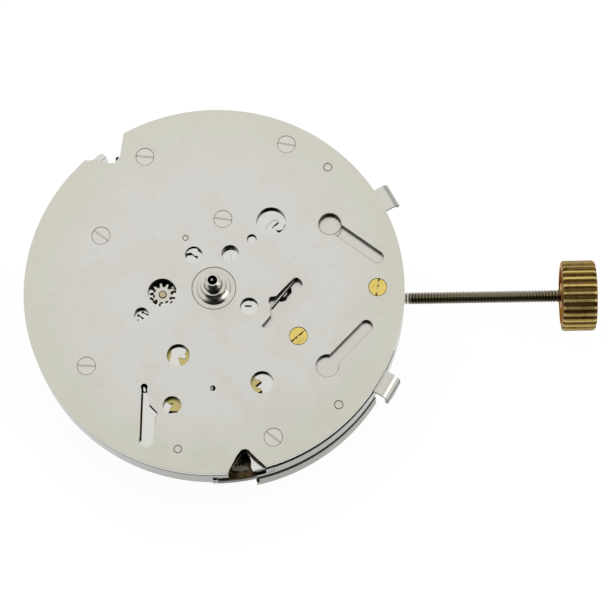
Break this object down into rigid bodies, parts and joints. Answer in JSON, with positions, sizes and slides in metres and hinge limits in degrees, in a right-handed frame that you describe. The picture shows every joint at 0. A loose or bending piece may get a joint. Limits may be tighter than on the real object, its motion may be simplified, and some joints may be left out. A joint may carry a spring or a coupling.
{
  "type": "automatic watch movement",
  "caption": "Round automatic watch movement with a dial-side module: cover plate, hour wheel, cannon pinion, pusher levers, threaded stem with a knurled setting crown, and rotor",
  "frame": {"origin": "On the axis of the hands, in the dial seat, which is the top face of the cover plate.", "axes": "+X points along the winding stem to the crown at three o'clock, +Y to twelve o'clock, +Z out of the dial side."},
  "size_m": [0.0452, 0.03, 0.01],
  "materials": {
    "nickel": "nickel-plated brass, fine grained",
    "screw_nickel": "nickel-plated steel, turned",
    "screw_brass": "bright brass, turned",
    "works_nickel": "nickel-plated brass, turned",
    "steel": "hardened steel, polished",
    "gilt": "gilt brass, grained",
    "pinion_steel": "hardened steel, polished leaves",
    "crown_brass": "dull bronze-coloured brass, coarse knurled",
    "stem_steel": "threaded steel",
    "ruby": "polished synthetic ruby",
    "spring_alloy": "tempered spring alloy",
    "blued": "blued steel",
    "balance_gold": "gilt beryllium bronze",
    "rotor_nickel": "nickel-plated, striped",
    "weight_metal": "heavy sintered alloy, turned"
  },
  "bodies": {
    "movement": {"cover_plate": "nickel", "cover_screws": "screw_nickel", "brass_screws": "screw_brass", "locating_pins": "steel", "works_plate": "works_nickel", "works_screws": "steel", "centre_guard": "steel", "star_jumper": "steel", "upper_lever_spring": "spring_alloy", "lower_lever_spring": "spring_alloy", "casing_block": "works_nickel", "main_plate": "works_nickel", "hairspring": "spring_alloy", "balance_cock": "nickel", "regulator": "nickel", "barrel_bridge": "nickel", "train_bridge": "nickel", "pallet_bridge": "nickel", "bridge_screws": "blued", "jewels": "ruby", "yoke_spring": "spring_alloy", "click_spring": "spring_alloy", "automatic_bridge": "nickel", "bearing_race": "steel"},
    "fourth": {"fourth_wheel": "gilt"},
    "third": {"third_wheel": "gilt"},
    "centre": {"centre_wheel": "gilt", "cannon_pinion": "pinion_steel"},
    "barrel": {"mainspring_barrel": "gilt", "mainspring": "spring_alloy"},
    "escape": {"escape_wheel": "pinion_steel"},
    "sweep": {"sweep_arbor": "pinion_steel"},
    "minute": {"minute_wheel": "gilt"},
    "hour": {"hour_wheel": "gilt"},
    "idler": {"idler_pinion": "gilt"},
    "six": {"six_wheel": "gilt"},
    "intermediate": {"intermediate_wheel": "steel"},
    "setting": {"setting_wheel": "steel"},
    "pallet": {"pallet_fork": "pinion_steel", "pallet_stones": "ruby"},
    "balance": {"balance_wheel": "balance_gold"},
    "upper_pusher": {"upper_lever": "steel"},
    "lower_pusher": {"lower_lever": "steel"},
    "winding": {"winding_pinion": "pinion_steel"},
    "stem": {"winding_stem": "stem_steel", "crown": "crown_brass"},
    "sliding": {"sliding_pinion": "pinion_steel"},
    "setting_arm": {"setting_lever": "steel"},
    "yoke_arm": {"yoke": "steel"},
    "crown_gear": {"crown_wheel": "steel"},
    "ratchet": {"ratchet_wheel": "steel", "barrel_arbor": "pinion_steel"},
    "reduction": {"reduction_wheel": "gilt"},
    "clutch": {"clutch_pinion": "pinion_steel"},
    "reversing": {"reversing_wheel": "gilt"},
    "rotor": {"rotor_frame": "rotor_nickel", "rotor_weight": "weight_metal", "bearing_balls": "steel"},
    "click_arm": {"click": "steel"}
  },
  "joints": [
    {"name": "fourth_spin", "type": "hinge", "parent": "movement", "child": "fourth", "pos_m": [-0.00008, -0.00816, -0.00508], "axis": [0, 0, -1], "continuous": true},
    {"name": "third_spin", "type": "hinge", "parent": "movement", "child": "third", "pos_m": [0.00075, -0.00421, -0.00478], "axis": [0, 0, -1], "continuous": true},
    {"name": "centre_spin", "type": "hinge", "parent": "movement", "child": "centre", "pos_m": [0, 0, -0.00506], "axis": [0, 0, -1], "continuous": true},
    {"name": "barrel_spin", "type": "hinge", "parent": "movement", "child": "barrel", "pos_m": [0.00117, 0.0055, -0.0036], "axis": [0, 0, -1], "continuous": true},
    {"name": "sweep_spin", "type": "hinge", "parent": "movement", "child": "sweep", "pos_m": [0, 0, -0.00618], "axis": [0, 0, -1], "continuous": true},
    {"name": "escape_spin", "type": "hinge", "parent": "movement", "child": "escape", "pos_m": [-0.003, -0.0068, -0.00451], "axis": [0, 0, -1], "continuous": true},
    {"name": "minute_spin", "type": "hinge", "parent": "movement", "child": "minute", "pos_m": [-0.00407, -0.00029, -0.0026], "axis": [0, 0, -1], "continuous": true},
    {"name": "hour_spin", "type": "hinge", "parent": "movement", "child": "hour", "pos_m": [0, 0, -0.00085], "axis": [0, 0, -1], "continuous": true},
    {"name": "idler_spin", "type": "hinge", "parent": "movement", "child": "idler", "pos_m": [0.0004, -0.00317, -0.0012], "axis": [0, 0, -1], "continuous": true},
    {"name": "six_spin", "type": "hinge", "parent": "movement", "child": "six", "pos_m": [-0.00008, -0.00816, -0.0012], "axis": [0, 0, -1], "continuous": true},
    {"name": "intermediate_spin", "type": "hinge", "parent": "movement", "child": "intermediate", "pos_m": [-0.00012, -0.00403, -0.0026], "axis": [0, 0, -1], "continuous": true},
    {"name": "setting_spin", "type": "hinge", "parent": "movement", "child": "setting", "pos_m": [0.003, -0.0014, -0.0026], "axis": [0, 0, -1], "continuous": true},
    {"name": "winding_spin", "type": "hinge", "parent": "movement", "child": "winding", "pos_m": [0.0075, 0, -0.0036], "axis": [1, 0, 0], "continuous": true},
    {"name": "stem_pull", "type": "slide", "parent": "winding", "child": "stem", "axis": [1, 0, 0], "range_m": [0, 0.0012]},
    {"name": "sliding_pinion_slide", "type": "slide", "parent": "winding", "child": "sliding", "axis": [1, 0, 0], "range_m": [-0.0006, 0]},
    {"name": "setting_lever_turn", "type": "hinge", "parent": "movement", "child": "setting_arm", "pos_m": [0.0103, 0.0026, -0.0026], "axis": [0, 0, 1], "range_deg": [0, 26.2]},
    {"name": "yoke_turn", "type": "hinge", "parent": "movement", "child": "yoke_arm", "pos_m": [0.0066, 0.0033, -0.0026], "axis": [0, 0, 1], "range_deg": [-11, 0]},
    {"name": "crown_wheel_spin", "type": "hinge", "parent": "movement", "child": "crown_gear", "pos_m": [0.00594, 0, -0.00596], "axis": [0, 0, 1], "continuous": true},
    {"name": "ratchet_spin", "type": "hinge", "parent": "movement", "child": "ratchet", "pos_m": [0.00117, 0.0055, -0.00596], "axis": [0, 0, 1], "continuous": true},
    {"name": "reduction_spin", "type": "hinge", "parent": "movement", "child": "reduction", "pos_m": [-0.00378, 0.00643, -0.0062], "axis": [0, 0, 1], "continuous": true},
    {"name": "clutch_spin", "type": "hinge", "parent": "movement", "child": "clutch", "pos_m": [-0.00416, 0.0024, -0.0062], "axis": [0, 0, 1], "continuous": true},
    {"name": "rotor_spin", "type": "hinge", "parent": "movement", "child": "rotor", "pos_m": [0, 0, -0.007], "axis": [0, 0, 1], "continuous": true},
    {"name": "reversing_spin", "type": "hinge", "parent": "movement", "child": "reversing", "pos_m": [-0.00416, 0.0024, -0.0068], "axis": [0, 0, 1], "continuous": true},
    {"name": "upper_pusher_press", "type": "hinge", "parent": "movement", "child": "upper_pusher", "pos_m": [0.01288, -0.00014, -0.0006], "axis": [0, 0, 1], "range_deg": [0, 5], "stiffness_Nm_per_rad": 0.004, "springref_deg": -2.86},
    {"name": "lower_pusher_press", "type": "hinge", "parent": "movement", "child": "lower_pusher", "pos_m": [0.0127, -0.0021, -0.0006], "axis": [0, 0, 1], "range_deg": [-5, 0], "stiffness_Nm_per_rad": 0.004, "springref_deg": 2.86},
    {"name": "pallet_rock", "type": "hinge", "parent": "movement", "child": "pallet", "pos_m": [-0.00486, -0.00572, -0.0045], "axis": [0, 0, 1], "range_deg": [-5, 5]},
    {"name": "balance_swing", "type": "hinge", "parent": "movement", "child": "balance", "pos_m": [-0.00699, -0.00319, -0.0051], "axis": [0, 0, 1], "range_deg": [-270, 270], "stiffness_Nm_per_rad": 0.0000002},
    {"name": "click_lift", "type": "hinge", "parent": "movement", "child": "click_arm", "pos_m": [0.00071, 0.01078, -0.00595], "axis": [0, 0, 1], "range_deg": [0, 8], "stiffness_Nm_per_rad": 0.0002, "springref_deg": -2.86}
  ],
  "couplings": [
    {"joint": "third_spin", "follows": "fourth_spin", "ratio": -0.13333},
    {"joint": "centre_spin", "follows": "fourth_spin", "ratio": 0.016667},
    {"joint": "barrel_spin", "follows": "fourth_spin", "ratio": -0.0025641},
    {"joint": "sweep_spin", "follows": "fourth_spin", "ratio": 1},
    {"joint": "escape_spin", "follows": "fourth_spin", "ratio": -12},
    {"joint": "minute_spin", "follows": "fourth_spin", "ratio": -0.0055556},
    {"joint": "hour_spin", "follows": "fourth_spin", "ratio": 0.0013889},
    {"joint": "idler_spin", "follows": "fourth_spin", "ratio": -0.0018519},
    {"joint": "six_spin", "follows": "fourth_spin", "ratio": 0.00069444},
    {"joint": "intermediate_spin", "follows": "fourth_spin", "ratio": 0.0071429},
    {"joint": "setting_spin", "follows": "fourth_spin", "ratio": -0.01},
    {"joint": "sliding_pinion_slide", "follows": "stem_pull", "ratio": -0.5},
    {"joint": "setting_lever_turn", "follows": "stem_pull", "rad_per_m": 378},
    {"joint": "yoke_turn", "follows": "stem_pull", "rad_per_m": -157.7},
    {"joint": "crown_wheel_spin", "follows": "winding_spin", "ratio": 0.66667},
    {"joint": "ratchet_spin", "follows": "winding_spin", "ratio": -0.45161},
    {"joint": "reduction_spin", "follows": "winding_spin", "ratio": 2.8},
    {"joint": "clutch_spin", "follows": "winding_spin", "ratio": -8},
    {"joint": "reversing_spin", "follows": "rotor_spin", "ratio": -1.2857}
  ]
}
